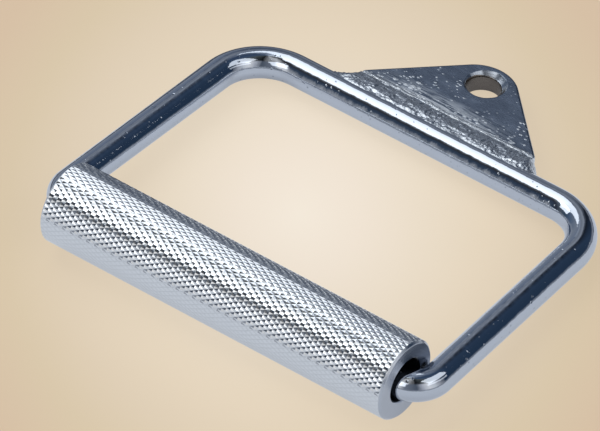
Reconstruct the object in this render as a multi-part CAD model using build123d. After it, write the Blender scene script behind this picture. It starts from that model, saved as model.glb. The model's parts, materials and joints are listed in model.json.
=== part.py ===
from build123d import *
from math import acos, asin, atan2, ceil, cos, degrees, hypot, pi, radians, sin, sqrt
import os

# Round bar, bent into a frame with rounded corners. Spacings and radii are those of its centreline.
bar_diameter = 9.6
side_spacing_at_grip = 134.0
side_spacing_at_top = 127.8
frame_height = 94.0
top_bend_radius = 17.0
grip_bend_radius = 8.3

# Thick-walled sleeve that turns on the bar, trapped between the two side runs
sleeve_diameter = 25.4
sleeve_bore_diameter = 13.6
sleeve_rim_chamfer = 0.8
sleeve_mouth_chamfer = 0.6
sleeve_end_gap = 0.25
sleeve_resting_gap = 0.2

# Eye plate. Its heights are measured from the lower edge, which is coped to sit on the top run.
plate_thickness = 7.0
plate_width = 62.8
plate_height = 33.5
plate_shoulder_height = 7.1
plate_edge_round = 0.8
plate_seat_depth = 0.5
eye_end_radius = 12.6
eye_hole_diameter = 11.0
eye_hole_height = 24.6
eye_front_chamfer = 1.1
eye_rear_chamfer = 0.3

# Weld beads along both faces of the plate. They run on past its two ends, and meet there.
# A ripple rises from its start to its crest over these shares of its pitch, and falls over the rest.
weld_ripple_pitch = 2.4
weld_ripple_depth = 0.35
ripple_start = 0.15
ripple_crest = 0.45
weld_overrun = 5.2
weld_corner_length = 0.2
weld_end_fullness = 0.8
weld_end_height = 4.3
weld_root_depth = 0.4
front_toe_angle = 78.0
front_toe_height = 5.8
front_crown = 1.0
rear_toe_angle = -92.0
rear_toe_height = 4.6
rear_crown = 0.7

# Where the points of a bead's section lie, as shares of the way from its toe on the bar
crown_shares = (0.12, 0.35, 0.62, 0.88)
wrap_shares = (0.2, 0.4, 0.6, 0.8, 0.95)

# The most of the plate's thickness that one rounded edge may take
edge_round_limit = 0.45

bar_radius = bar_diameter / 2
sleeve_radius = sleeve_diameter / 2
bore_radius = sleeve_bore_diameter / 2
eye_hole_radius = eye_hole_diameter / 2
half_plate_width = plate_width / 2

# The handle is drawn flat, with the grip run on the X axis and the eye towards +Y.
plate_base = frame_height + bar_radius - plate_seat_depth
plate_rear = -bar_radius
plate_front = plate_rear + plate_thickness
plate_middle = (plate_front + plate_rear) / 2
plate_apex = plate_base + plate_height
eye_centre = plate_base + eye_hole_height

# At rest the bar lies in the bottom of the sleeve's loose bore, so the sleeve's axis is above the bar's.
sleeve_lift = bore_radius - bar_radius - sleeve_resting_gap
grip_run_height = sleeve_radius - sleeve_lift

# The handle lies on one floor, which the sleeve and the rear edge of the eye both touch.
edge_reach = plate_apex - plate_edge_round
edge_depth = -plate_rear - plate_edge_round
lie_angle = asin((grip_run_height - plate_edge_round) / hypot(edge_reach, edge_depth))
lie_angle -= atan2(edge_depth, edge_reach)

# The origin is on the floor, in the middle of the handle's length and width.
far_end = edge_reach * cos(lie_angle) + (plate_front - plate_edge_round) * sin(lie_angle)
far_end += plate_edge_round
middle_of_length = (far_end - sleeve_radius) / 2
on_floor = Pos(0, -middle_of_length, grip_run_height)
lying = on_floor * Rot(X=-degrees(lie_angle))


def make_frame_bar():
    """One bar, closed into a ring by a joint in the top run that the plate and its welds hide."""
    bend_line = FilletPolyline(
        (0, frame_height),
        (side_spacing_at_top / 2, frame_height),
        (side_spacing_at_grip / 2, 0),
        (0, 0),
        radius=[top_bend_radius, grip_bend_radius],
    )
    section = Plane(origin=bend_line @ 0, z_dir=bend_line % 0) * Circle(bar_radius)
    right_half = sweep(section, path=bend_line)
    return right_half + mirror(right_half, about=Plane.YZ)


def make_grip_sleeve():
    """Turned tube with a chamfered rim and mouth at each end, as long as the side runs allow."""
    lean = atan2((side_spacing_at_grip - side_spacing_at_top) / 2, frame_height)
    side_run_at_rim = side_spacing_at_grip / 2 - sleeve_radius * sin(lean) / cos(lean)
    half_length = side_run_at_rim - bar_radius / cos(lean) - sleeve_end_gap
    right_end = [
        (half_length - sleeve_rim_chamfer, sleeve_radius),
        (half_length, sleeve_radius - sleeve_rim_chamfer),
        (half_length, bore_radius + sleeve_mouth_chamfer),
        (half_length - sleeve_mouth_chamfer, bore_radius),
    ]
    left_end = [(-x, radius) for x, radius in reversed(right_end)]
    wall = make_face(Polyline(*right_end, *left_end, close=True))
    return revolve(wall, Axis.X)


def make_plate_outline():
    """Short upright flanks, two sloping edges and a round end that they run into."""
    shoulder = plate_base + plate_shoulder_height
    arc_centre = plate_apex - eye_end_radius
    drop = shoulder - arc_centre
    touch = atan2(drop, half_plate_width) + acos(eye_end_radius / hypot(drop, half_plate_width))
    touch_x = eye_end_radius * cos(touch)
    touch_y = arc_centre + eye_end_radius * sin(touch)
    straight_edges = Polyline(
        (-touch_x, touch_y),
        (-half_plate_width, shoulder),
        (-half_plate_width, plate_base),
        (half_plate_width, plate_base),
        (half_plate_width, shoulder),
        (touch_x, touch_y),
    )
    round_end = ThreePointArc((touch_x, touch_y), (0, plate_apex), (-touch_x, touch_y))
    return make_face(straight_edges + round_end)


def top_run():
    """The straight stretch of bar that the plate and the welds are fitted to."""
    length = side_spacing_at_top - 2 * top_bend_radius
    return Pos(0, frame_height, 0) * Rot(Y=90) * Cylinder(bar_radius, length)


def make_blank_plate():
    """The plate as it is cut out, before its edges are rounded."""
    return Pos(0, 0, plate_rear) * extrude(make_plate_outline(), plate_thickness)


def make_eye_plate():
    """Flat plate with rounded edges, a chamfered eye and a lower edge coped to the bar."""
    plate = make_blank_plate()
    rims = plate.edges().filter_by(GeomType.LINE).filter_by(Axis.Z, reverse=True)
    rims += plate.edges().filter_by(GeomType.CIRCLE)
    outer_rims = [edge for edge in rims if edge.center().Y > plate_base + plate_edge_round / 2]
    plate = fillet(outer_rims, min(plate_edge_round, plate_thickness * edge_round_limit))
    hole_profile = make_face(
        Polyline(
            (0, plate_rear),
            (eye_hole_radius + eye_rear_chamfer, plate_rear),
            (eye_hole_radius, plate_rear + eye_rear_chamfer),
            (eye_hole_radius, plate_front - eye_front_chamfer),
            (eye_hole_radius + eye_front_chamfer, plate_front),
            (0, plate_front),
            close=True,
        )
    )
    hole = Pos(0, eye_centre, 0) * revolve(Plane.XZ * hole_profile, Axis.Z)
    return plate - hole - top_run()


def bead_stations():
    """Places along the plate where the bead's ripples start and crest: (x, share of the ripple)."""
    ripples = ceil(plate_width / weld_ripple_pitch)
    step = plate_width / ripples
    stations = []
    for number in range(ripples):
        start = -half_plate_width + number * step
        stations.append((start + ripple_start * step, 0))
        stations.append((start + ripple_crest * step, 1))
    return stations


def section_at(x, points):
    """A closed section across the bar, from (height above the bar's axis, depth) pairs."""
    return make_face(Polyline(*[(x, frame_height + height, depth) for height, depth in points], close=True))


def bead_on_plate(x, crown, toe_angle, toe_height, plate_face):
    """Crowned section from its toe on the bar to its toe on a face of the plate."""
    outward = 1 if plate_face > plate_middle else -1
    toe = radians(toe_angle)
    bar_toe = Vector(bar_radius * cos(toe), bar_radius * sin(toe))
    plate_toe = Vector(plate_base - frame_height + toe_height, plate_face)
    across = plate_toe - bar_toe
    proud = Vector(-across.Y, across.X).normalized() * outward
    root = bar_radius - weld_root_depth
    points = [(root * cos(toe), root * sin(toe))]
    for share in crown_shares:
        point = bar_toe + across * share + proud * (crown * sin(pi * share))
        points.append((point.X, point.Y))
    points.append((plate_toe.X, plate_face - outward * weld_root_depth))
    points.append((plate_toe.X, plate_middle))
    points.append((bar_radius / 2, plate_middle))
    return section_at(x, points)


def bead_on_bar(x, lump, toe_angle):
    """Rounded section beyond the plate's end, from its toe round the bar to the plate's middle."""
    toe = radians(toe_angle)
    root = bar_radius - weld_root_depth
    points = [(root * cos(toe), root * sin(toe))]
    for share in wrap_shares:
        radius = bar_radius - weld_root_depth / 2 + lump * sin(pi / 2 * share) ** 2
        angle = toe + (asin(plate_middle / radius) - toe) * share
        points.append((radius * cos(angle), radius * sin(angle)))
    crest = bar_radius - weld_root_depth / 2 + lump
    points.append((sqrt(crest**2 - plate_middle**2), plate_middle))
    points.append((bar_radius / 2, plate_middle))
    return section_at(x, points)


def make_weld_bead(crown, toe_angle, toe_height, plate_face):
    """Rippled bead along one face of the plate, tapering away along the bar past each end."""
    end_lump = plate_base - frame_height + weld_end_height - bar_radius
    sections_per_ripple = 2
    end_steps = ceil(weld_overrun / weld_ripple_pitch * sections_per_ripple)
    right_end = []
    for number in range(end_steps + 1):
        share = number / end_steps
        trough = weld_ripple_depth * (number % sections_per_ripple)
        lump = end_lump * (1 - share) ** weld_end_fullness - trough
        x = half_plate_width + weld_corner_length + (weld_overrun - weld_corner_length) * share
        right_end.append((x, max(lump, 0)))
    sections = [bead_on_bar(-x, lump, toe_angle) for x, lump in reversed(right_end)]
    for x, share in bead_stations():
        height = crown - weld_ripple_depth * (1 - share)
        sections.append(bead_on_plate(x, height, toe_angle, toe_height, plate_face))
    sections += [bead_on_bar(x, lump, toe_angle) for x, lump in right_end]
    bead = loft(sections, ruled=True)
    return bead - top_run() - make_blank_plate()


front_weld = make_weld_bead(front_crown, front_toe_angle, front_toe_height, plate_front)
rear_weld = make_weld_bead(rear_crown, rear_toe_angle, rear_toe_height, plate_rear)

nodes = {
    "frame_bar": lying * make_frame_bar(),
    "eye_plate": lying * make_eye_plate(),
    "front_weld_bead": lying * front_weld,
    "rear_weld_bead": lying * rear_weld,
    "grip_sleeve": on_floor * Pos(0, 0, sleeve_lift) * make_grip_sleeve(),
}

os.makedirs("parts", exist_ok=True)
for name, solid in nodes.items():
    export_step(solid, f"parts/{name}.step")
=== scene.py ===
import json
from math import acos, asin, atan2, ceil, cos, exp, hypot, pi, radians, sin, sqrt

import bmesh
import bpy
from mathutils import Matrix, Quaternion, Vector, noise


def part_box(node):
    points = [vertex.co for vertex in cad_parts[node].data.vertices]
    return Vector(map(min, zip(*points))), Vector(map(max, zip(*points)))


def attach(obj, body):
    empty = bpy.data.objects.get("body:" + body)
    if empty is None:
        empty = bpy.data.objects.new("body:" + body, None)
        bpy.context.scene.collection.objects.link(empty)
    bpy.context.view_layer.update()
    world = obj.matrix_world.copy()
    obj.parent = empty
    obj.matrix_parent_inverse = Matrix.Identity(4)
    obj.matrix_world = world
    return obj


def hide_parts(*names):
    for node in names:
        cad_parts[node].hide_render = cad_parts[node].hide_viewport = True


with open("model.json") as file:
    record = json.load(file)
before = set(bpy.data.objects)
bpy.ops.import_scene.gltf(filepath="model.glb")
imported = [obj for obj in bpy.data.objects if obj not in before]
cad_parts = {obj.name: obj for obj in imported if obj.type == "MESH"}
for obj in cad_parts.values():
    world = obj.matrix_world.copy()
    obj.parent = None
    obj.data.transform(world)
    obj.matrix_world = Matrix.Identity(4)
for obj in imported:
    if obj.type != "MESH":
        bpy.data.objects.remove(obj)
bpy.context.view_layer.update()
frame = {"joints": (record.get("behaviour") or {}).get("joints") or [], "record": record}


# The frame bar: one round steel bar, cold bent into a closed frame and plated with the eye welded on.
# Buffed bright chrome, so it mirrors the room, with a faint orange peel and the odd pit under the plating.
bar_radius = 0.0048
side_spacing_at_grip = 0.134
side_spacing_at_top = 0.1278
frame_height = 0.094
top_bend_radius = 0.017
grip_bend_radius = 0.0083
bar_round_steps = 72
bend_steps = 28

bar_chrome_colour = "C2C7D0"
bar_pit_colour = "868C98"
bar_roughness = 0.02
bar_patch_roughness = 0.09
bar_peel_size = 0.0018
bar_peel_height = 0.00003
bar_wave_length = 0.005
bar_wave_height = 0.0001

# Pits gather in patches. A pit's radius is a share of the spacing, next to none where the bar is clean.
bar_pit_spacing = 0.0019
bar_pit_depth = 0.00009
bar_pit_share = 0.24
bar_clean_share = 0.001
bar_patch_size = bar_pit_spacing / 0.3
bar_clean_below = 0.36
bar_pitted_above = 0.66

# The handle lies tilted about its grip run, so that the rear edge of its eye is on the table too.
# The bar is highest at the grip run.
eye = next(m for m in frame["record"]["mounts"] if m["name"] == "eye_hole")
spin = next(j for j in frame["joints"] if j["name"] == "grip_spin")
lie_angle = atan2(eye["axis"][1], eye["axis"][2])
grip_run = Vector((0, spin["pos_m"][1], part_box("frame_bar")[1].z - bar_radius))
lying = Matrix.Translation(grip_run) @ Matrix.Rotation(-lie_angle, 4, "X")


def linear(hex_colour):
    """An sRGB hex colour as linear RGBA."""
    parts = [int(hex_colour[i:i + 2], 16) / 255 for i in (0, 2, 4)]
    return [c / 12.92 if c <= 0.04045 else ((c + 0.055) / 1.055) ** 2.4 for c in parts] + [1]


def add(tree, kind, inputs=None, **settings):
    """Adds a node with its settings, and gives its inputs values or other nodes' outputs."""
    made = tree.nodes.new(kind)
    for name, value in settings.items():
        setattr(made, name, value)
    for key, value in (inputs or {}).items():
        if isinstance(value, bpy.types.NodeSocket):
            tree.links.new(value, made.inputs[key])
        else:
            made.inputs[key].default_value = value
    return made


def new_material(name):
    """A material and its node tree, still empty."""
    material = bpy.data.materials.new(name)
    material.use_nodes = True
    material.node_tree.nodes.clear()
    return material, material.node_tree


def new_tree(name, inputs):
    """A Geometry Nodes tree with named inputs, and its two end nodes."""
    tree = bpy.data.node_groups.new(name, "GeometryNodeTree")
    tree.interface.new_socket("Geometry", in_out="INPUT", socket_type="NodeSocketGeometry")
    for label, kind in inputs.items():
        tree.interface.new_socket(label, in_out="INPUT", socket_type="NodeSocket" + kind)
    tree.interface.new_socket("Geometry", in_out="OUTPUT", socket_type="NodeSocketGeometry")
    return tree, add(tree, "NodeGroupInput").outputs, add(tree, "NodeGroupOutput")


def grow(source, tree, values, name, place):
    """Runs a tree on an object, and keeps what it makes as a plain mesh with its place in the mesh."""
    modifier = source.modifiers.new(name, "NODES")
    modifier.node_group = tree
    for socket in tree.interface.items_tree:
        if socket.name in values:
            modifier[socket.identifier] = values[socket.name]
    bpy.context.scene.collection.objects.link(source)
    bpy.context.view_layer.update()
    evaluated = source.evaluated_get(bpy.context.evaluated_depsgraph_get())
    mesh = bpy.data.meshes.new_from_object(evaluated)
    source.modifiers.remove(modifier)
    bpy.data.objects.remove(source)
    mesh.transform(place)
    return keep(mesh, name)


def keep(mesh, name):
    """A finished piece: its faces turned outwards, its object at the origin."""
    shape = bmesh.new()
    shape.from_mesh(mesh)
    bmesh.ops.recalc_face_normals(shape, faces=shape.faces)
    shape.to_mesh(mesh)
    shape.free()
    mesh.name = name
    piece = bpy.data.objects.new(name, mesh)
    bpy.context.scene.collection.objects.link(piece)
    return piece


bar_chrome, tree = new_material("buffed_chrome_on_drawn_bar")
place = add(tree, "ShaderNodeTexCoord").outputs["Object"]
peel = add(tree, "ShaderNodeTexNoise", {"Vector": place, "Scale": 1 / bar_peel_size, "Detail": 3.0})
wave = add(tree, "ShaderNodeTexNoise", {"Vector": place, "Scale": 1 / bar_wave_length, "Detail": 1.0})
pits = add(tree, "ShaderNodeTexVoronoi", {"Vector": place, "Scale": 1 / bar_pit_spacing})
patch = add(tree, "ShaderNodeTexNoise", {"Vector": place, "Scale": 1 / bar_patch_size, "Detail": 1.0})
reach = add(tree, "ShaderNodeMapRange", {
    "Value": patch.outputs["Fac"], "From Min": bar_clean_below, "From Max": bar_pitted_above,
    "To Min": bar_clean_share, "To Max": bar_pit_share})
pitted = add(tree, "ShaderNodeMapRange", {
    "Value": pits.outputs["Distance"], "From Max": reach.outputs[0], "To Min": 1.0, "To Max": 0.0})
level = add(tree, "ShaderNodeMath", {
    0: pitted.outputs[0], 1: -bar_pit_depth / bar_peel_height, 2: peel.outputs["Fac"]},
    operation="MULTIPLY_ADD")
fine_bump = add(tree, "ShaderNodeBump", {"Height": level.outputs[0], "Distance": bar_peel_height})
bump = add(tree, "ShaderNodeBump", {
    "Height": wave.outputs["Fac"], "Distance": bar_wave_height, "Normal": fine_bump.outputs[0]})
tone = add(tree, "ShaderNodeMix", {
    0: pitted.outputs[0], 6: linear(bar_chrome_colour), 7: linear(bar_pit_colour)}, data_type="RGBA")
haze = add(tree, "ShaderNodeMapRange", {
    "Value": patch.outputs["Fac"], "To Min": bar_roughness, "To Max": bar_patch_roughness})
surface = add(tree, "ShaderNodeBsdfPrincipled", {
    "Base Color": tone.outputs[2], "Metallic": 1.0, "Roughness": haze.outputs[0], "Normal": bump.outputs[0]})
add(tree, "ShaderNodeOutputMaterial", {"Surface": surface.outputs[0]})

# A closed line through the frame's four corners, rounded wide at the top and tight at the grip, and a
# round section swept along it.
tree, given, result = new_tree("bent_bar", {
    "Bar radius": "Float", "Grip bend radius": "Float", "Top bend radius": "Float", "Half height": "Float",
    "Bend steps": "Int", "Round steps": "Int", "Finish": "Material"})
where = add(tree, "GeometryNodeInputPosition")
height = add(tree, "ShaderNodeSeparateXYZ", {0: where.outputs[0]}).outputs["Y"]
above = add(tree, "FunctionNodeCompare", {0: height, 1: given["Half height"]}, operation="GREATER_THAN")
bend_radius = add(tree, "GeometryNodeSwitch", {
    0: above.outputs[0], 1: given["Grip bend radius"], 2: given["Top bend radius"]}, input_type="FLOAT")
line = add(tree, "GeometryNodeFilletCurve", {
    "Curve": given["Geometry"], "Radius": bend_radius.outputs[0], "Count": given["Bend steps"]}, mode="POLY")
ring = add(tree, "GeometryNodeCurvePrimitiveCircle", {
    "Resolution": given["Round steps"], "Radius": given["Bar radius"]})
tube = add(tree, "GeometryNodeCurveToMesh", {"Curve": line.outputs[0], "Profile Curve": ring.outputs[0]})
smooth = add(tree, "GeometryNodeSetShadeSmooth", {"Geometry": tube.outputs[0]})
solid = add(tree, "GeometryNodeRealizeInstances", {"Geometry": smooth.outputs[0]})
plated = add(tree, "GeometryNodeSetMaterial", {"Geometry": solid.outputs[0], "Material": given["Finish"]})
tree.links.new(plated.outputs[0], result.inputs[0])

bend_line = bpy.data.curves.new("bend_line", "CURVE")
bend_line.dimensions = "3D"
corners = bend_line.splines.new("POLY")
corners.points.add(3)
for point, (side, up) in zip(corners.points, ((-1, 0), (1, 0), (1, 1), (-1, 1))):
    spacing = side_spacing_at_top if up else side_spacing_at_grip
    point.co = (side * spacing / 2, up * frame_height, 0, 1)
corners.use_cyclic_u = True
frame_bar = grow(bpy.data.objects.new("bend_line", bend_line), tree, {
    "Bar radius": bar_radius, "Grip bend radius": grip_bend_radius, "Top bend radius": top_bend_radius,
    "Half height": frame_height / 2, "Bend steps": bend_steps, "Round steps": bar_round_steps,
    "Finish": bar_chrome}, "chromed_frame_bar", lying)
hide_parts("frame_bar")
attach(frame_bar, "frame")


# The grip sleeve: a bored steel tube, turned, rolled between two knurling wheels, chamfered, then chromed.
# It is loose on the bar and turns on it. Its knurl is rows of small four-sided points with worn, flat tips.
sleeve_low, sleeve_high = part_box("grip_sleeve")
sleeve_axis = Vector(spin["pos_m"])
sleeve_radius = (sleeve_high.z - sleeve_low.z) / 2
sleeve_half_length = (sleeve_high.x - sleeve_low.x) / 2
bore_radius = 0.0068
rim_chamfer = 0.0008
mouth_chamfer = 0.0006
corner_break = 0.00008
bore_steps = 12

# The points stand in columns: each is a ring of one point for every start, and every second one is
# turned by half a point.
knurl_starts = 48
knurl_columns = 83
knurl_depth = 0.00014
knurl_tip_share = 0.12
knurl_half_length = sleeve_half_length - rim_chamfer
knurl_reach = 2 * knurl_half_length / (knurl_columns - 1)
knurl_turn = pi / knurl_starts
valley_radius = sleeve_radius - knurl_depth
knurl_weld_distance = 0.000002

knurl_chrome_colour = "DDDFE2"
# The valley tone is dirt and painted shade.
knurl_valley_dirt_and_shade_colour = "B4B8BD"
turned_end_colour = "BCC0C8"
# The bore's near-black tone is painted shade over barely plated steel.
sleeve_bore_shade_colour = "35373B"
knurl_roughness = 0.09
knurl_grain_roughness = 0.18
turned_end_roughness = 0.22
sleeve_bore_roughness = 0.5
sleeve_grain_size = 0.0007
sleeve_grain_height = 0.000008

# Real turning marks are about half as wide. They are drawn this coarse so that they show.
turning_pitch = 0.00022

# Radii between which the dirt and painted shade in the valleys fade, and where the knurl and the bore begin
valley_dirt_and_shade_low = valley_radius - 0.00002
valley_dirt_and_shade_high = valley_radius + knurl_depth * 0.45
knurl_from = valley_radius - 0.0001
bored_to = bore_radius + 0.00015

# Bright chrome that glitters on the points, because each mirrors the room four ways. Dirt and painted shade
# darken the valleys. The turned ends are satin with round marks, and the plating hardly reached into the
# bore, whose near-black tone is painted shade.
knurl_chrome, tree = new_material("chrome_on_rolled_diamond_knurl")
place = add(tree, "ShaderNodeTexCoord").outputs["Object"]
centred = add(tree, "ShaderNodeVectorMath", {0: place, 1: sleeve_axis}, operation="SUBTRACT")
across = add(tree, "ShaderNodeVectorMath", {0: centred.outputs[0], 1: (0, 1, 1)}, operation="MULTIPLY")
radius = add(tree, "ShaderNodeVectorMath", {0: across.outputs[0]}, operation="LENGTH").outputs["Value"]
# Darker towards the valley bottoms: painted shade, and dirt that varies with the grain.
low_down = add(tree, "ShaderNodeMapRange", {
    "Value": radius, "From Min": valley_dirt_and_shade_low, "From Max": valley_dirt_and_shade_high, "To Min": 1.0, "To Max": 0.0})
rolled = add(tree, "ShaderNodeMath", {0: radius, 1: knurl_from}, operation="GREATER_THAN")
bored = add(tree, "ShaderNodeMath", {0: radius, 1: bored_to}, operation="LESS_THAN")
valley = add(tree, "ShaderNodeMath", {0: low_down.outputs[0], 1: rolled.outputs[0]}, operation="MULTIPLY")
grain = add(tree, "ShaderNodeTexNoise", {"Vector": place, "Scale": 1 / sleeve_grain_size, "Detail": 3.0})
valley_dirt_and_shade = add(tree, "ShaderNodeMath", {0: valley.outputs[0], 1: grain.outputs["Fac"]}, operation="MULTIPLY")
turned = add(tree, "ShaderNodeTexNoise", {
    "W": radius, "Scale": 1 / turning_pitch, "Detail": 2.0}, noise_dimensions="1D")
level = add(tree, "ShaderNodeMath", {0: turned.outputs["Fac"], 1: grain.outputs["Fac"]}, operation="ADD")
bump = add(tree, "ShaderNodeBump", {"Height": level.outputs[0], "Distance": sleeve_grain_height})
tone = add(tree, "ShaderNodeMix", {
    0: valley_dirt_and_shade.outputs[0], 6: linear(knurl_chrome_colour), 7: linear(knurl_valley_dirt_and_shade_colour)}, data_type="RGBA")
tone = add(tree, "ShaderNodeMix", {
    0: rolled.outputs[0], 6: linear(turned_end_colour), 7: tone.outputs[2]}, data_type="RGBA")
# Nearly black inside the bore: painted shade.
tone = add(tree, "ShaderNodeMix", {
    0: bored.outputs[0], 6: tone.outputs[2], 7: linear(sleeve_bore_shade_colour)}, data_type="RGBA")
haze = add(tree, "ShaderNodeMapRange", {
    "Value": grain.outputs["Fac"], "To Min": knurl_roughness, "To Max": knurl_grain_roughness})
haze = add(tree, "ShaderNodeMix", {0: rolled.outputs[0], 2: turned_end_roughness, 3: haze.outputs[0]})
haze = add(tree, "ShaderNodeMix", {0: bored.outputs[0], 2: haze.outputs[0], 3: sleeve_bore_roughness})
surface = add(tree, "ShaderNodeBsdfPrincipled", {
    "Base Color": tone.outputs[2], "Metallic": 1.0, "Roughness": haze.outputs[0], "Normal": bump.outputs[0]})
add(tree, "ShaderNodeOutputMaterial", {"Surface": surface.outputs[0]})


def round_axis(x, angle, radius):
    """A place at an angle and a radius round the X axis."""
    return (x, radius * sin(angle), radius * cos(angle))


def skin(rings, count, closed=False):
    """Faces from each ring of points to the next, and from the last to the first where it is closed."""
    faces = []
    for ring in range(rings if closed else rings - 1):
        low, high = ring * count, (ring + 1) % rings * count
        for i in range(count):
            after = (i + 1) % count
            faces.append((low + i, low + after, high + after, high + i))
    return faces


def make_knurl_point():
    """One diamond of the knurl, at the top of a sleeve whose axis is the X axis."""
    points = []
    for size, radius in ((1, valley_radius), (knurl_tip_share, sleeve_radius)):
        reach, turn = knurl_reach * size, knurl_turn * size
        points += [round_axis(reach, 0, radius), round_axis(0, turn, radius),
                   round_axis(-reach, 0, radius), round_axis(0, -turn, radius)]
    points.append(round_axis(0, 0, sleeve_radius))
    faces = []
    for i in range(4):
        after = (i + 1) % 4
        faces += [(i, after, 4 + after, 4 + i), (4 + i, 4 + after, 8)]
    mesh = bpy.data.meshes.new("knurl_point")
    mesh.from_pydata(points, [], faces)
    return bpy.data.objects.new("knurl_point", mesh)


def make_sleeve_blank():
    """The turned ends and the bore, open where the knurl goes."""
    border = []
    for start in range(knurl_starts):
        middle = 2 * start * knurl_turn
        tip = knurl_turn * knurl_tip_share
        border += [(middle - knurl_turn, valley_radius), (middle - tip, sleeve_radius),
                   (middle, sleeve_radius), (middle + tip, sleeve_radius)]
    end = sleeve_half_length
    rim = sleeve_radius - rim_chamfer
    mouth = bore_radius + mouth_chamfer
    right_end = [
        (knurl_half_length + knurl_depth, valley_radius),
        (end - corner_break, rim + corner_break),
        (end, rim - corner_break),
        (end, mouth + corner_break),
        (end - corner_break, mouth - corner_break),
        (end - mouth_chamfer, bore_radius),
    ]
    bore = [((end - mouth_chamfer) * (1 - 2 * step / bore_steps), bore_radius)
            for step in range(1, bore_steps)]
    profile = right_end + bore + [(-x, r) for x, r in reversed(right_end)]
    rings = [[(knurl_half_length, angle, r) for angle, r in border]]
    rings += [[(x, angle, r) for angle, _ in border] for x, r in profile]
    rings += [[(-knurl_half_length, angle, r) for angle, r in border]]
    points = [round_axis(*spot) for spots in rings for spot in spots]
    mesh = bpy.data.meshes.new("sleeve_blank")
    mesh.from_pydata(points, [], skin(len(rings), len(border)))
    return bpy.data.objects.new("sleeve_blank", mesh)


# A spot for each point of the knurl, numbered round the sleeve and column after column along it
tree, given, result = new_tree("diamond_knurl", {
    "Point": "Object", "Starts": "Int", "Columns": "Int", "Half length": "Float",
    "Weld distance": "Float", "Finish": "Material"})
total = add(tree, "ShaderNodeMath", {0: given["Starts"], 1: given["Columns"]}, operation="MULTIPLY")
spots = add(tree, "GeometryNodePoints", {"Count": total.outputs[0]})
index = add(tree, "GeometryNodeInputIndex")
share = add(tree, "ShaderNodeMath", {0: index.outputs[0], 1: given["Starts"]}, operation="DIVIDE")
column = add(tree, "ShaderNodeMath", {0: share.outputs[0]}, operation="FLOOR")
slot = add(tree, "ShaderNodeMath", {0: index.outputs[0], 1: given["Starts"]}, operation="MODULO")
shifted = add(tree, "ShaderNodeMath", {0: column.outputs[0], 1: 2.0}, operation="MODULO")
turns = add(tree, "ShaderNodeMath", {
    0: shifted.outputs[0], 1: 0.5, 2: slot.outputs[0]}, operation="MULTIPLY_ADD")
part_turn = add(tree, "ShaderNodeMath", {0: turns.outputs[0], 1: given["Starts"]}, operation="DIVIDE")
angle = add(tree, "ShaderNodeMath", {0: part_turn.outputs[0], 1: 2 * pi}, operation="MULTIPLY")
last = add(tree, "ShaderNodeMath", {0: given["Columns"], 1: 1.0}, operation="SUBTRACT")
along = add(tree, "ShaderNodeMath", {0: column.outputs[0], 1: last.outputs[0]}, operation="DIVIDE")
doubled = add(tree, "ShaderNodeMath", {0: along.outputs[0], 1: 2.0, 2: -1.0}, operation="MULTIPLY_ADD")
shift = add(tree, "ShaderNodeMath", {0: doubled.outputs[0], 1: given["Half length"]}, operation="MULTIPLY")
spot = add(tree, "ShaderNodeCombineXYZ", {"X": shift.outputs[0]})
laid = add(tree, "GeometryNodeSetPosition", {"Geometry": spots.outputs[0], "Position": spot.outputs[0]})
facing = add(tree, "ShaderNodeCombineXYZ", {"X": angle.outputs[0]})
point = add(tree, "GeometryNodeObjectInfo", {"Object": given["Point"]})
rows = add(tree, "GeometryNodeInstanceOnPoints", {
    "Points": laid.outputs[0], "Rotation": facing.outputs[0], "Instance": point.outputs["Geometry"]})

# The halves of points that stand past the knurl's ends go, and the rest is joined to the turned ends.
solid = add(tree, "GeometryNodeRealizeInstances", {"Geometry": rows.outputs[0]})
where = add(tree, "GeometryNodeInputPosition")
side = add(tree, "ShaderNodeSeparateXYZ", {0: where.outputs[0]})
out = add(tree, "ShaderNodeMath", {0: side.outputs["X"]}, operation="ABSOLUTE")
limit = add(tree, "ShaderNodeMath", {0: given["Half length"], 1: given["Weld distance"]}, operation="ADD")
beyond = add(tree, "FunctionNodeCompare", {0: out.outputs[0], 1: limit.outputs[0]}, operation="GREATER_THAN")
trimmed = add(tree, "GeometryNodeDeleteGeometry", {
    "Geometry": solid.outputs[0], "Selection": beyond.outputs[0]}, domain="FACE")
joined = add(tree, "GeometryNodeJoinGeometry")
tree.links.new(trimmed.outputs[0], joined.inputs[0])
tree.links.new(given["Geometry"], joined.inputs[0])
closed = add(tree, "GeometryNodeMergeByDistance", {
    "Geometry": joined.outputs[0], "Distance": given["Weld distance"]})
plated = add(tree, "GeometryNodeSetMaterial", {"Geometry": closed.outputs[0], "Material": given["Finish"]})
tree.links.new(plated.outputs[0], result.inputs[0])

knurl_point = make_knurl_point()
grip_sleeve = grow(make_sleeve_blank(), tree, {
    "Point": knurl_point, "Starts": knurl_starts, "Columns": knurl_columns,
    "Half length": knurl_half_length, "Weld distance": knurl_weld_distance, "Finish": knurl_chrome},
    "knurled_grip_sleeve", Matrix.Translation(sleeve_axis))
bpy.data.objects.remove(knurl_point)
for face in grip_sleeve.data.polygons:
    middle = face.center - sleeve_axis
    face.use_smooth = hypot(middle.y, middle.z) < bore_radius + mouth_chamfer / 2
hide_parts("grip_sleeve")
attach(grip_sleeve, "grip")


# The eye plate: cut from thick hot-rolled steel plate, coped to sit on the bar, its edges dressed round,
# its eye drilled and countersunk by hand. The face was hardly ground before plating, so the chrome shows
# its waves, its grain and the specks on it.
plate_thickness = 0.007
plate_width = 0.0628
plate_height = 0.0335
plate_shoulder_height = 0.0071
plate_seat_depth = 0.0005
plate_edge_round = 0.0008
shoulder_round = 0.0012
eye_end_radius = 0.0126
eye_hole_radius = eye["dims"]["r_mm"] / 1000
eye_hole_height = 0.0246
eye_rear_chamfer = 0.0003
front_toe_height = 0.0058

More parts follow.
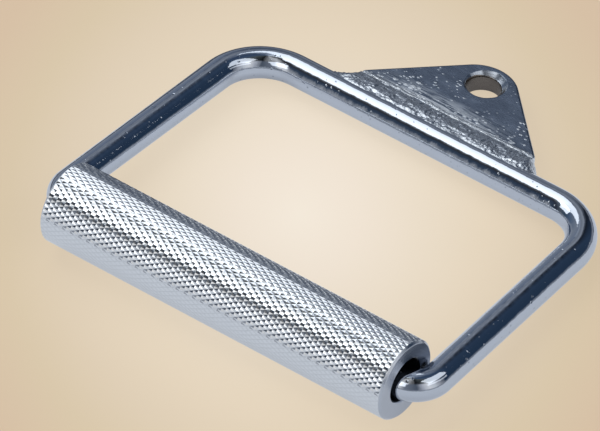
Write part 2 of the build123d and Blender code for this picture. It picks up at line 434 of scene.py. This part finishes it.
half_plate_width = plate_width / 2
plate_base = frame_height + bar_radius - plate_seat_depth
plate_rear = -bar_radius
plate_front = plate_rear + plate_thickness
plate_middle = (plate_rear + plate_front) / 2
plate_apex = plate_base + plate_height
eye_centre = Vector((0, plate_base + eye_hole_height))

# The countersink was cut off centre, a little ragged at its edge and slightly dished.
countersink_width = 0.001
countersink_drift = 0.0007
countersink_drift_angle = radians(42)
countersink_ragged = 0.00012
countersink_lobes = 2.5
countersink_seed = 0.7
countersink_dish = 0.04
countersink_foot = 0.0003

# How finely the plate is divided along its outline, across its faces and round its edges
flank_steps = 10
shoulder_steps = 8
slope_steps = 56
eye_end_steps = 36
lower_edge_steps = 60
bore_rings = 8
face_shares = (0, 0.015, 0.04, 0.25, 0.5, 0.75, 0.95, 0.985, 1)
countersink_shares = (0.93, 0.75, 0.5, 0.25, 0.07, 0.0)
rear_shares = (0, 0.015, 0.1, 0.35, 0.65, 0.9, 0.985, 1)
edge_turns = (15, 30, 45, 60, 75, 90)

plate_colour = "7C8696"
# The rubbed tone: wear, and a painted sheen on the smear.
plate_rubbed_and_sheen_colour = "ECEFF2"
plate_cut_colour = "DCDEE0"
bore_colour = "7E766F"
plate_roughness = 0.2
plate_streak_roughness = 0.36
rubbed_roughness = 0.42
toe_rub_roughness = 0.2
plate_grain_size = 0.0005
plate_grain_height = 0.00003
plate_wave_length = 0.009
plate_wave_height = 0.00045
streak_length = 0.006
streak_width = 0.0006

# Specks of scale and spatter: their size is a share of their spacing, and they stray from even rows.
speck_length = 0.0021
speck_width = 0.0011
speck_height = 0.00006
speck_stray = 0.0005
speck_edge = 0.12
speck_share_at_weld = 0.32
speck_fade_length = 0.015
speck_share_in_patch = 0.3
speck_patch_from = 0.4
speck_patch_to = 0.68

# A brushed smear above the weld, lighter as a painted sheen, and a rubbed line that wanders along the weld's
# toe
smear_reach = 0.0075
smear_middle = -0.004
smear_half_length = 0.026
brushed_from = 0.39
brushed_to = 0.52
toe_rub_width = 0.0008
toe_rub_height = 0.00018
toe_rub_offset = 0.0018
toe_rub_wander = 0.0022

# The fresh cut's tone comes in over these depths below the face, and is weaker outside specked patches.
cut_from = 0.00003
cut_to = 0.0001
cut_weak_below = 0.05
cut_full_above = 0.2
cut_least = 0.35
drilled_to = eye_hole_radius + 0.00003

eye_face = lying @ Vector((0, eye_centre.y, plate_front))
eye_axis = lying.to_3x3() @ Vector((0, 0, 1))
toe_line = lying @ Vector((0, plate_base + front_toe_height, plate_front))

# A thin dull plating over rolled steel: slate grey and satin, with raised specks that are thickest beside
# the weld, and lighter wherever it was rubbed: wear, and a painted sheen on the smear.
plate_chrome, tree = new_material("chrome_on_specked_rolled_plate")
place = add(tree, "ShaderNodeTexCoord").outputs["Object"]
parts = add(tree, "ShaderNodeSeparateXYZ", {0: place}).outputs
beyond = add(tree, "ShaderNodeMath", {0: parts["Y"], 1: toe_line.y}, operation="SUBTRACT")
grain = add(tree, "ShaderNodeTexNoise", {"Vector": place, "Scale": 1 / plate_grain_size, "Detail": 3.0})
wave = add(tree, "ShaderNodeTexNoise", {"Vector": place, "Scale": 1 / plate_wave_length, "Detail": 2.0})
drawn = add(tree, "ShaderNodeMapping", {
    "Vector": place, "Scale": (1 / streak_length, 1 / streak_width, 1 / streak_width)})
streak = add(tree, "ShaderNodeTexNoise", {"Vector": drawn.outputs[0], "Scale": 1.0, "Detail": 3.0})

# The specks are drawn out along the plate. They are large beside the weld and in patches.
strayed = add(tree, "ShaderNodeVectorMath", {
    0: grain.outputs["Color"], 1: [speck_stray] * 3, 2: place}, operation="MULTIPLY_ADD")
flattened = add(tree, "ShaderNodeMapping", {
    "Vector": strayed.outputs[0], "Scale": (1 / speck_length, 1 / speck_width, 1 / speck_width)})
specks = add(tree, "ShaderNodeTexVoronoi", {"Vector": flattened.outputs[0], "Scale": 1.0})
at_weld = add(tree, "ShaderNodeMapRange", {
    "Value": beyond.outputs[0], "From Max": speck_fade_length, "To Min": speck_share_at_weld, "To Max": 0.0})
patch = add(tree, "ShaderNodeMapRange", {
    "Value": wave.outputs["Fac"], "From Min": speck_patch_from, "From Max": speck_patch_to,
    "To Max": speck_share_in_patch})
reach = add(tree, "ShaderNodeMath", {0: at_weld.outputs[0], 1: patch.outputs[0]}, operation="ADD")
inside = add(tree, "ShaderNodeMath", {
    0: reach.outputs[0], 1: specks.outputs["Distance"]}, operation="SUBTRACT")
specked = add(tree, "ShaderNodeMapRange", {"Value": inside.outputs[0], "From Max": speck_edge})

# The smear is streaks inside a band that fades at its ends and its upper edge. Its lighter tone is a painted
# sheen.
off_middle = add(tree, "ShaderNodeMath", {0: parts["X"], 1: smear_middle}, operation="SUBTRACT")
along = add(tree, "ShaderNodeMath", {0: off_middle.outputs[0]}, operation="ABSOLUTE")
in_length = add(tree, "ShaderNodeMapRange", {
    "Value": along.outputs[0], "From Min": smear_half_length, "From Max": smear_half_length / 3})
in_width = add(tree, "ShaderNodeMapRange", {
    "Value": beyond.outputs[0], "From Min": smear_reach, "From Max": smear_reach / 3})
band = add(tree, "ShaderNodeMath", {0: in_length.outputs[0], 1: in_width.outputs[0]}, operation="MULTIPLY")
brushed = add(tree, "ShaderNodeMapRange", {
    "Value": streak.outputs["Fac"], "From Min": brushed_from, "From Max": brushed_to})
brushed_and_sheen_smear = add(tree, "ShaderNodeMath", {0: band.outputs[0], 1: brushed.outputs[0]}, operation="MULTIPLY")

# The rubbed line along the weld's toe
rub_line = add(tree, "ShaderNodeMath", {
    0: streak.outputs["Fac"], 1: -toe_rub_wander, 2: toe_rub_offset}, operation="MULTIPLY_ADD")
off_line = add(tree, "ShaderNodeMath", {0: beyond.outputs[0], 1: rub_line.outputs[0]}, operation="SUBTRACT")
off_line = add(tree, "ShaderNodeMath", {0: off_line.outputs[0]}, operation="ABSOLUTE")
toe_rub = add(tree, "ShaderNodeMapRange", {
    "Value": off_line.outputs[0], "From Min": toe_rub_width, "From Max": toe_rub_width / 4})
rubbed_and_sheen = add(tree, "ShaderNodeMath", {0: brushed_and_sheen_smear.outputs[0], 1: specked.outputs[0]}, operation="MAXIMUM")
rubbed_and_sheen = add(tree, "ShaderNodeMath", {0: rubbed_and_sheen.outputs[0], 1: toe_rub.outputs[0]}, operation="MAXIMUM")

# The countersink is a fresh cut, and the drilled bore under it took little plating.
from_eye = add(tree, "ShaderNodeVectorMath", {0: place, 1: eye_face}, operation="SUBTRACT").outputs[0]
depth = add(tree, "ShaderNodeVectorMath", {
    0: from_eye, 1: eye_axis}, operation="DOT_PRODUCT").outputs["Value"]
crossed = add(tree, "ShaderNodeVectorMath", {0: from_eye, 1: eye_axis}, operation="CROSS_PRODUCT")
out = add(tree, "ShaderNodeVectorMath", {0: crossed.outputs[0]}, operation="LENGTH").outputs["Value"]
sunk = add(tree, "ShaderNodeMapRange", {"Value": depth, "From Min": -cut_from, "From Max": -cut_to})
beside = add(tree, "ShaderNodeMath", {
    0: out, 1: eye_hole_radius + 2 * countersink_width}, operation="LESS_THAN")
shallow = add(tree, "ShaderNodeMath", {0: depth, 1: -plate_thickness / 2}, operation="GREATER_THAN")
fresh = add(tree, "ShaderNodeMapRange", {
    "Value": patch.outputs[0], "From Min": cut_weak_below, "From Max": cut_full_above, "To Min": cut_least})
cut = add(tree, "ShaderNodeMath", {0: sunk.outputs[0], 1: beside.outputs[0]}, operation="MULTIPLY")
cut = add(tree, "ShaderNodeMath", {0: cut.outputs[0], 1: shallow.outputs[0]}, operation="MULTIPLY")
cut = add(tree, "ShaderNodeMath", {0: cut.outputs[0], 1: fresh.outputs[0]}, operation="MULTIPLY")
drilled = add(tree, "ShaderNodeMath", {0: out, 1: drilled_to}, operation="LESS_THAN")

# Lighter where rubbed: wear, and a painted sheen on the smear.
tone = add(tree, "ShaderNodeMix", {
    0: rubbed_and_sheen.outputs[0], 6: linear(plate_colour), 7: linear(plate_rubbed_and_sheen_colour)}, data_type="RGBA")
tone = add(tree, "ShaderNodeMix", {
    0: cut.outputs[0], 6: tone.outputs[2], 7: linear(plate_cut_colour)}, data_type="RGBA")
tone = add(tree, "ShaderNodeMix", {
    0: drilled.outputs[0], 6: tone.outputs[2], 7: linear(bore_colour)}, data_type="RGBA")
relief = add(tree, "ShaderNodeMath", {
    0: specked.outputs[0], 1: speck_height / plate_grain_height, 2: grain.outputs["Fac"]},
    operation="MULTIPLY_ADD")
relief = add(tree, "ShaderNodeMath", {
    0: toe_rub.outputs[0], 1: toe_rub_height / plate_grain_height, 2: relief.outputs[0]},
    operation="MULTIPLY_ADD")
fine_bump = add(tree, "ShaderNodeBump", {"Height": relief.outputs[0], "Distance": plate_grain_height})
bump = add(tree, "ShaderNodeBump", {
    "Height": wave.outputs["Fac"], "Distance": plate_wave_height, "Normal": fine_bump.outputs[0]})
haze = add(tree, "ShaderNodeMapRange", {
    "Value": streak.outputs["Fac"], "To Min": plate_roughness, "To Max": plate_streak_roughness})
haze = add(tree, "ShaderNodeMix", {0: rubbed_and_sheen.outputs[0], 2: haze.outputs[0], 3: rubbed_roughness})
haze = add(tree, "ShaderNodeMix", {0: toe_rub.outputs[0], 2: haze.outputs[0], 3: toe_rub_roughness})
surface = add(tree, "ShaderNodeBsdfPrincipled", {
    "Base Color": tone.outputs[2], "Metallic": 1.0, "Roughness": haze.outputs[0], "Normal": bump.outputs[0]})
add(tree, "ShaderNodeOutputMaterial", {"Surface": surface.outputs[0]})


def spread(start, end, steps):
    """Even steps from start up to, but not at, end."""
    return [start + (end - start) * (step / steps) for step in range(steps)]


def make_plate_outline():
    """The outline from its lower right corner, as (point, outward normal) pairs, with none on the cope."""
    shoulder = plate_base + plate_shoulder_height
    arc_centre = plate_apex - eye_end_radius
    drop = shoulder - arc_centre
    touch = atan2(drop, half_plate_width) + acos(eye_end_radius / hypot(drop, half_plate_width))
    touching = Vector((eye_end_radius * cos(touch), arc_centre + eye_end_radius * sin(touch)))
    corner = Vector((half_plate_width, shoulder))
    set_back = shoulder_round * sin(touch / 2) / cos(touch / 2)
    round_centre = corner + Vector((-shoulder_round, -set_back))
    slope = Vector((cos(touch), sin(touch)))
    after_corner = round_centre + slope * shoulder_round
    lower_right = Vector((half_plate_width, plate_base))
    flank_end = Vector((half_plate_width, round_centre.y))
    half = [(p, Vector((1, 0))) for p in spread(lower_right, flank_end, flank_steps)]
    for angle in spread(0, touch, shoulder_steps):
        normal = Vector((cos(angle), sin(angle)))
        half.append((round_centre + normal * shoulder_round, normal))
    half += [(p, slope) for p in spread(after_corner, touching, slope_steps)]
    for angle in spread(touch, pi / 2, eye_end_steps):
        normal = Vector((cos(angle), sin(angle)))
        half.append((Vector((0, arc_centre)) + normal * eye_end_radius, normal))
    apex = [(Vector((0, plate_apex)), Vector((0, 1)))]
    other = [(Vector((-p.x, p.y)), Vector((-n.x, n.y))) for p, n in reversed(half)]
    lower_left = Vector((-half_plate_width, plate_base))
    cope = spread(lower_left, lower_right, lower_edge_steps)[1:]
    return half + apex + other + [(p, Vector((0, 0))) for p in cope]


def ring_round_eye(rays, widths, depths):
    """A ring of points round the eye, each some width outside the hole's edge and at its own depth."""
    return [(eye_centre + ray * (eye_hole_radius + width), depth)
            for ray, width, depth in zip(rays, widths, depths)]


def make_plate_mesh():
    """Rings of points from the front face's edge, in through the eye, out over the rear face and back."""
    outline = make_plate_outline()
    inset = [p - n * plate_edge_round for p, n in outline]
    angles = [atan2(p.y - eye_centre.y, p.x) for p in inset]
    rays = [Vector((cos(a), sin(a))) for a in angles]
    rings = []
    sinks = []
    for angle in angles:
        lobe = Vector((cos(angle) * countersink_lobes, sin(angle) * countersink_lobes, countersink_seed))
        ragged = countersink_ragged * noise.noise(lobe)
        sinks.append(countersink_width + countersink_drift * cos(angle - countersink_drift_angle) + ragged)
    for share in face_shares:
        rings.append([(p.lerp(eye_centre + ray * (eye_hole_radius + sink), share), plate_front)
                      for p, ray, sink in zip(inset, rays, sinks)])
    for share in countersink_shares:
        drop = 1 - share + (countersink_dish if share in countersink_shares[1:-1] else 0)
        rings.append(ring_round_eye(
            rays, [sink * share for sink in sinks], [plate_front - sink * drop for sink in sinks]))
    top = plate_front - countersink_width - countersink_drift - countersink_foot
    foot = plate_rear + eye_rear_chamfer
    for step in range(bore_rings + 1):
        depth = top + (foot - top) * step / bore_rings
        rings.append(ring_round_eye(rays, [0] * len(rays), [depth] * len(rays)))
    for share in rear_shares:
        rings.append([((eye_centre + ray * (eye_hole_radius + eye_rear_chamfer)).lerp(p, share), plate_rear)
                      for p, ray in zip(inset, rays)])
    for face, inward, turns in ((plate_rear, 1, edge_turns), (plate_front, -1, edge_turns[::-1])):
        for turn in turns:
            out, up = sin(radians(turn)), 1 - cos(radians(turn))
            rings.append([(p + n * plate_edge_round * out, face + inward * plate_edge_round * up)
                          for p, (_, n) in zip(inset, outline)])
    points = []
    for ring in rings:
        for spot, z in ring:
            y = spot.y
            if abs(z) < bar_radius and hypot(y - frame_height, z) < bar_radius:
                y = frame_height + sqrt(bar_radius ** 2 - z ** 2)
            points.append((spot.x, y, z))
    faces = skin(len(rings), len(outline), closed=True)
    mesh = bpy.data.meshes.new("eye_plate")
    mesh.from_pydata(points, [], faces)
    mesh.polygons.foreach_set("use_smooth", [True] * len(faces))
    mesh.materials.append(plate_chrome)
    mesh.transform(lying)
    return mesh


eye_plate = keep(make_plate_mesh(), "chromed_eye_plate")
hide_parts("eye_plate")
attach(eye_plate, "frame")


# The weld beads: two runs of weld metal, one on each face of the plate, that go round its ends and meet.
# They were brushed and plated as they lay, so the chrome is lumpy, rippled and bright only in spots.
front_crown = 0.001
front_toe_angle = 78
front_seed = 1.3
rear_crown = 0.0007
rear_toe_angle = -92
rear_toe_height = 0.0046
rear_seed = 7.9
weld_overrun = 0.0052
weld_right_end_height = 0.0066
weld_left_end_height = 0.005
weld_root_depth = 0.0004
toe_depth = weld_root_depth / 3
station_step = 0.0003
across_steps = 44

# A bead's section swells from toe to toe. At the plate's ends it turns into a lump round the bar, whose
# relief fades where the lump is thin.
swell_fullness = 0.7
corner_wrap = 0.0006
wrap_fullness = 1.6
end_fullness = 0.8
thin_lump = 0.0006

# Ripples bow across the bead, wander a little, and are closer and deeper past the plate's ends.
ripple_pitch = 0.0023
ripple_depth = 0.00008
ripple_fullness = 0.6
ripple_bow = 0.55
ripple_stray = 0.5
ripple_stray_length = 0.006
end_ripple_depth = 0.00038
end_ripple_ramp = 0.001

# Lumps, grit and the lip along the upper toe. The bead is about this far round from toe to toe.
bead_girth = 0.009
lump_height = 0.0003
lump_length = 0.0042
lump_width = 0.0018
grit_height = 0.0002
grit_size = 0.0008
lip_height = 0.00022
lip_share = 0.9
lip_spread = 0.045
lip_level = 0.7
lip_break_length = 0.003
lip_seed = 5.2

# Where the wire brush polished: the lip, and patches low down beside the bar
lip_burnish = 0.75
low_burnish = 0.66
low_share = 0.16
low_spread = 0.13
burnish_length = 0.0028
burnish_bands = 4

weld_colour = "D2D6DB"
weld_burnished_colour = "DCDFE3"
weld_roughness = 0.2
weld_burnished_roughness = 0.1
weld_grain_size = 0.00045
weld_grain_height = 0.00016
weld_patch_size = 0.0016
weld_dull_below = 0.68
weld_bright_above = 0.98

# Dull plating over the gritty skin of the bead, and bright where the wire brush reached its high spots.
weld_chrome, tree = new_material("chrome_on_brushed_weld_metal")
place = add(tree, "ShaderNodeTexCoord").outputs["Object"]
burnish = add(tree, "ShaderNodeAttribute", attribute_name="burnish").outputs["Fac"]
grain = add(tree, "ShaderNodeTexNoise", {"Vector": place, "Scale": 1 / weld_grain_size, "Detail": 4.0})
patch = add(tree, "ShaderNodeTexNoise", {"Vector": place, "Scale": 1 / weld_patch_size, "Detail": 3.0})
worn = add(tree, "ShaderNodeMath", {0: burnish, 1: patch.outputs["Fac"]}, operation="ADD")
bright = add(tree, "ShaderNodeMapRange", {
    "Value": worn.outputs[0], "From Min": weld_dull_below, "From Max": weld_bright_above})
bump = add(tree, "ShaderNodeBump", {"Height": grain.outputs["Fac"], "Distance": weld_grain_height})
tone = add(tree, "ShaderNodeMix", {
    0: bright.outputs[0], 6: linear(weld_colour), 7: linear(weld_burnished_colour)}, data_type="RGBA")
haze = add(tree, "ShaderNodeMapRange", {
    "Value": bright.outputs[0], "To Min": weld_roughness, "To Max": weld_burnished_roughness})
surface = add(tree, "ShaderNodeBsdfPrincipled", {
    "Base Color": tone.outputs[2], "Metallic": 1.0, "Roughness": haze.outputs[0], "Normal": bump.outputs[0]})
add(tree, "ShaderNodeOutputMaterial", {"Surface": surface.outputs[0]})


def bell(share, middle, width):
    """1 in the middle of a band across the bead, and falling to 0 on both sides of it."""
    return exp(-((share - middle) / width) ** 2)


def bead_relief(x, share, seed):
    """How far ripples, lumps, grit and the lip along its upper toe stand out at a place on the bead."""
    beyond = max(0, abs(x) - half_plate_width)
    depth = ripple_depth + (end_ripple_depth - ripple_depth) * min(1, beyond / end_ripple_ramp)
    stray = ripple_stray * noise.noise(Vector((x / ripple_stray_length, seed, 0)))
    finer = beyond / ripple_pitch * (1 if x > 0 else -1)
    phase = x / ripple_pitch + finer + stray + ripple_bow * (1 - (2 * share - 1) ** 2)
    ripple = depth * (sin(pi * (phase % 1)) ** ripple_fullness - 1)
    across = share * bead_girth
    lump = lump_height * noise.noise(Vector((x / lump_length, across / lump_width, seed)))
    grit = grit_height * noise.noise(Vector((x, across, seed)) / grit_size)
    lip = lip_height * (lip_level + noise.noise(Vector((x / lip_break_length, seed, lip_seed))))
    return ripple + lump + grit + lip * bell(share, lip_share, lip_spread)


def burnish_at(x, share, seed):
    """How bright the brush left a place: along the lip, and in long patches beside the bar."""
    patch = 0.5 + noise.noise(Vector((x / burnish_length, share * burnish_bands, seed + 3)))
    low_down = bell(share, low_share, low_spread)
    return max(lip_burnish * bell(share, lip_share, lip_spread), low_burnish * low_down * patch)


def bead_section(x, crown, toe_angle, toe_height, face, seed):
    """A closed section of the bead, as (height above the bar's axis, depth) points."""
    outward = 1 if face > plate_middle else -1
    beyond = abs(x) - half_plate_width
    along = min(1, max(0, beyond / weld_overrun))
    end_height = weld_right_end_height if x > 0 else weld_left_end_height
    lump = (plate_base - frame_height + end_height - bar_radius) * (1 - along) ** end_fullness
    wrap = min(1, max(0, (beyond + corner_wrap) / (2 * corner_wrap)))
    wrap = wrap * wrap * (3 - 2 * wrap)
    bar_toe = Vector((cos(toe_angle), sin(toe_angle))) * (bar_radius - toe_depth)
    plate_toe = Vector((plate_base - frame_height + toe_height, face - outward * toe_depth))
    across = plate_toe - bar_toe
    proud = Vector((-across.y, across.x)).normalized() * outward
    points = []
    for step in range(across_steps + 1):
        share = step / across_steps
        swell = sin(pi * share) ** swell_fullness
        relief = bead_relief(x, share, seed) * min(1, 3 * swell)
        on_plate = bar_toe + across * share + proud * (crown * swell + relief)
        radius = bar_radius - toe_depth + lump * sin(pi / 2 * share) ** wrap_fullness
        radius += relief * min(1, lump / thin_lump)
        middle_angle = asin(max(-1, plate_middle / radius))
        angle = toe_angle + (middle_angle - toe_angle) * share
        on_bar = Vector((cos(angle), sin(angle))) * radius
        points.append(on_plate.lerp(on_bar, wrap))
    inner = Vector((points[-1].x - weld_root_depth, plate_middle))
    return points + [inner, Vector((bar_radius / 2, plate_middle))]


def make_bead(name, crown, toe_angle, toe_height, face, seed):
    """One bead, from section to section along the bar, closed at both ends."""
    half_length = half_plate_width + weld_overrun
    stations = ceil(2 * half_length / station_step)
    rings = []
    brightness = []
    for number in range(stations + 1):
        x = -half_length + 2 * half_length * number / stations
        section = bead_section(x, crown, radians(toe_angle), toe_height, face, seed)
        rings.append([(x, frame_height + p.x, p.y) for p in section])
        brightness += [burnish_at(x, step / across_steps, seed) for step in range(len(section))]
    count = len(rings[0])
    faces = skin(len(rings), count)
    faces.append(tuple(range(count)))
    faces.append(tuple(stations * count + i for i in range(count)))
    mesh = bpy.data.meshes.new(name)
    mesh.from_pydata([p for ring in rings for p in ring], [], faces)
    mesh.polygons.foreach_set("use_smooth", [True] * len(faces))
    mesh.attributes.new("burnish", "FLOAT", "POINT").data.foreach_set("value", brightness)
    mesh.materials.append(weld_chrome)
    mesh.transform(lying)
    return keep(mesh, name)


front_weld = make_bead(
    "front_weld", front_crown, front_toe_angle, front_toe_height, plate_front, front_seed)
rear_weld = make_bead("rear_weld", rear_crown, rear_toe_angle, rear_toe_height, plate_rear, rear_seed)
for bead, node in ((front_weld, "front_weld_bead"), (rear_weld, "rear_weld_bead")):
    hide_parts(node)
    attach(bead, "frame")


# The table and the room: pale warm paper with a painted pool of light that fades from its middle,
# under soft boxes and windows.
# The paper is a matt surface that keeps a soft shadow, and metal mirrors it as the cooler grey it has there.
# The lamps and the wall tones were fitted to what the photograph's chrome mirrors, then changed.
paper_size = 1.8
pool_radius = 0.105
# The painted pool of light, as tones from its middle out to its edge
light_pool_tones = (
    (0.0, "FFF3E2"), (0.17, "FBEDDB"), (0.34, "F5E6D0"), (0.5, "F0DFC6"), (0.67, "E9D7BD"),
    (0.82, "E3D0B2"), (1.0, "E0C8AC"))
mirrored_paper = "EEF2F8"
mirrored_far_paper = "666C78"
far_paper_start = 0.03
far_paper_end = 0.055
shadow_share = 0.25
mirrored_shadow_share = 0.5

# The painted pool of light centres where the camera aims, and its edge looks round from the camera's height.
camera_aim = Vector((-0.01253, -0.01056, 0))
camera_azimuth = -35.58
camera_elevation = 42.05


def set_stops(node, stops):
    """Gives a colour ramp its stops, as (position, colour) pairs in rising order."""
    ramp = node.color_ramp
    while len(ramp.elements) < len(stops):
        ramp.elements.new(0.5)
    for element, (position, hex_colour) in zip(ramp.elements, stops):
        element.position = position
        element.color = linear(hex_colour)
    return node


paper, tree = new_material("matt_backdrop_paper")
place = add(tree, "ShaderNodeTexCoord").outputs["Object"]
pool = add(tree, "ShaderNodeMapping", {
    "Vector": place, "Location": camera_aim, "Rotation": (0, 0, -radians(camera_azimuth)),
    "Scale": (1, 1 / sin(radians(camera_elevation)), 1)}, vector_type="TEXTURE")
far = add(tree, "ShaderNodeVectorMath", {0: pool.outputs[0]}, operation="LENGTH")
share = add(tree, "ShaderNodeMath", {0: far.outputs["Value"], 1: pool_radius}, operation="DIVIDE")
tones = set_stops(add(tree, "ShaderNodeValToRGB", {0: share.outputs[0]}), light_pool_tones)
rays = add(tree, "ShaderNodeLightPath").outputs
seen = add(tree, "ShaderNodeMath", {
    0: rays["Is Camera Ray"], 1: rays["Is Transmission Ray"]}, operation="MAXIMUM")
across = add(tree, "ShaderNodeSeparateXYZ", {0: pool.outputs[0]}).outputs["Y"]
farther = add(tree, "ShaderNodeMapRange", {
    "Value": across, "From Min": far_paper_start, "From Max": far_paper_end},
    interpolation_type="SMOOTHSTEP")
mirrored = add(tree, "ShaderNodeMix", {
    0: farther.outputs[0], 6: linear(mirrored_paper), 7: linear(mirrored_far_paper)}, data_type="RGBA")
colour = add(tree, "ShaderNodeMix", {
    0: rays["Is Glossy Ray"], 6: tones.outputs[0], 7: mirrored.outputs[2]}, data_type="RGBA")
matt = add(tree, "ShaderNodeBsdfDiffuse", {"Color": colour.outputs[2]})
even = add(tree, "ShaderNodeEmission", {"Color": colour.outputs[2]})
lit = add(tree, "ShaderNodeMath", {0: seen.outputs[0], 1: 1 - shadow_share}, operation="MULTIPLY")
lit = add(tree, "ShaderNodeMath", {
    0: rays["Is Glossy Ray"], 1: 1 - mirrored_shadow_share, 2: lit.outputs[0]}, operation="MULTIPLY_ADD")
mixed = add(tree, "ShaderNodeMixShader", {0: lit.outputs[0], 1: matt.outputs[0], 2: even.outputs[0]})
add(tree, "ShaderNodeOutputMaterial", {"Surface": mixed.outputs[0]})

half = paper_size / 2
sheet = bpy.data.meshes.new("table")
sheet.from_pydata(
    [(-half, -half, 0), (half, -half, 0), (half, half, 0), (-half, half, 0)], [], [(0, 1, 2, 3)])
sheet.materials.append(paper)
table = bpy.data.objects.new("table", sheet)
bpy.context.scene.collection.objects.link(table)

# Each soft box: azimuth, elevation, turn about its own axis, width, height and level, seen from the handle.
box_distance = 1.5
box_white = (0.95, 0.98, 1.0)
soft_boxes = (
    ("overhead_box", -72, 56, 18, 1.33, 0.97, 1.18),
    ("low_screen", -31, 37, 0, 0.6, 0.34, 0.14),
    ("side_box", -102, 40, 32, 0.55, 0.8, 1.45),
    ("window_pane", 68, 54, -8, 1.3, 0.7, 1.0),
    ("window_sill", 78, 33, -10, 1.4, 0.22, 0.6),
    ("front_box", -177, 38, 0, 1.0, 0.75, 1.1),
)


def toward(azimuth, elevation):
    """A direction, from the azimuth off +Y towards +X and the elevation, in degrees."""
    a, e = radians(azimuth), radians(elevation)
    return Vector((sin(a) * cos(e), cos(a) * cos(e), sin(e)))


for name, azimuth, elevation, turn, width, height, level in soft_boxes:
    lamp = bpy.data.lights.new(name, "AREA")
    lamp.shape = "RECTANGLE"
    lamp.size, lamp.size_y = width, height
    lamp.color = box_white
    lamp.energy = level * pi * width * height
    box = bpy.data.objects.new(name, lamp)
    box.location = toward(azimuth, elevation) * box_distance
    aimed = (-box.location).to_track_quat("-Z", "Y")
    box.rotation_euler = (aimed @ Quaternion((0, 0, 1), radians(turn))).to_euler()
    box.visible_camera = False
    bpy.context.scene.collection.objects.link(box)

# The walls and the ceiling by azimuth: pale screens with dark gaps between them.
wall_tones = (
    (-180, "FFFFFF"), (-164, "FFFFFF"), (-150, "3E4E62"), (-135, "343A46"), (-120, "5E6873"),
    (-105, "3A5369"), (-90, "566A84"), (-60, "8A93A0"), (-45, "7E899B"), (-36, "566070"),
    (-24, "7A828F"), (-12, "202630"), (15, "33455C"), (60, "293C52"), (75, "B3B5BC"),
    (90, "E7EBEF"), (105, "FFFFFF"), (120, "C8CBD3"), (135, "5C6572"), (165, "858C98"),
    (180, "FFFFFF"))
ceiling_tones = (
    (-180, "E2E2E1"), (-150, "3A3D42"), (-135, "3A3D42"), (-122, "84878A"), (-108, "F6FDFF"),
    (-45, "A9B4C4"), (0, "3E5068"), (45, "4A5C74"), (90, "595F60"), (135, "101216"),
    (180, "E2E2E1"))
far_paper_tone = "9CA2AC"
backdrop_tone = "D9C2A6"
horizon_low = 0
horizon_high = 12
ceiling_low = 42
ceiling_high = 56

world = bpy.data.worlds.new("studio")
bpy.context.scene.world = world
world.use_nodes = True
tree = world.node_tree
tree.nodes.clear()
view = add(tree, "ShaderNodeTexCoord").outputs["Generated"]
parts = add(tree, "ShaderNodeSeparateXYZ", {0: view}).outputs
azimuth = add(tree, "ShaderNodeMath", {0: parts["X"], 1: parts["Y"]}, operation="ARCTAN2")
share = add(tree, "ShaderNodeMath", {
    0: azimuth.outputs[0], 1: 1 / (2 * pi), 2: 0.5}, operation="MULTIPLY_ADD")
walls, ceiling = [
    set_stops(add(tree, "ShaderNodeValToRGB", {0: share.outputs[0]}),
              [(angle / 360 + 0.5, hex_colour) for angle, hex_colour in tones]).outputs[0]
    for tones in (wall_tones, ceiling_tones)]
rise = add(tree, "ShaderNodeMath", {0: parts["Z"]}, operation="ARCSINE")
above = add(tree, "ShaderNodeMapRange", {
    "Value": rise.outputs[0], "From Min": radians(horizon_low), "From Max": radians(horizon_high)},
    interpolation_type="SMOOTHSTEP")
overhead = add(tree, "ShaderNodeMapRange", {
    "Value": rise.outputs[0], "From Min": radians(ceiling_low), "From Max": radians(ceiling_high)},
    interpolation_type="SMOOTHSTEP")
room = add(tree, "ShaderNodeMix", {
    0: above.outputs[0], 6: linear(far_paper_tone), 7: walls}, data_type="RGBA")
room = add(tree, "ShaderNodeMix", {
    0: overhead.outputs[0], 6: room.outputs[2], 7: ceiling}, data_type="RGBA")
rays = add(tree, "ShaderNodeLightPath").outputs
shown = add(tree, "ShaderNodeMix", {
    0: rays["Is Camera Ray"], 6: room.outputs[2], 7: linear(backdrop_tone)}, data_type="RGBA")
glow = add(tree, "ShaderNodeBackground", {"Color": shown.outputs[2]})
add(tree, "ShaderNodeOutputWorld", {"Surface": glow.outputs[0]})


# The camera, where the photograph's was: far off with a long lens, so the handle is almost undistorted.
# It looks down at the table from the grip's side and the right, and is turned a little about its own axis.
camera_roll = 1.958
camera_distance = 2.6363
camera_lens = 540

forward = toward(camera_azimuth, -camera_elevation)
aimed = forward.to_track_quat("-Z", "Y")
lens = bpy.data.cameras.new("camera")
lens.lens = camera_lens
lens.sensor_width = 36
lens.clip_start = 0.1
lens.clip_end = 50
camera = bpy.data.objects.new("camera", lens)
camera.location = camera_aim - forward * camera_distance
camera.rotation_euler = (aimed @ Quaternion((0, 0, 1), radians(camera_roll))).to_euler()
bpy.context.scene.collection.objects.link(camera)
bpy.context.scene.camera = camera
bpy.context.scene.view_settings.view_transform = "Standard"
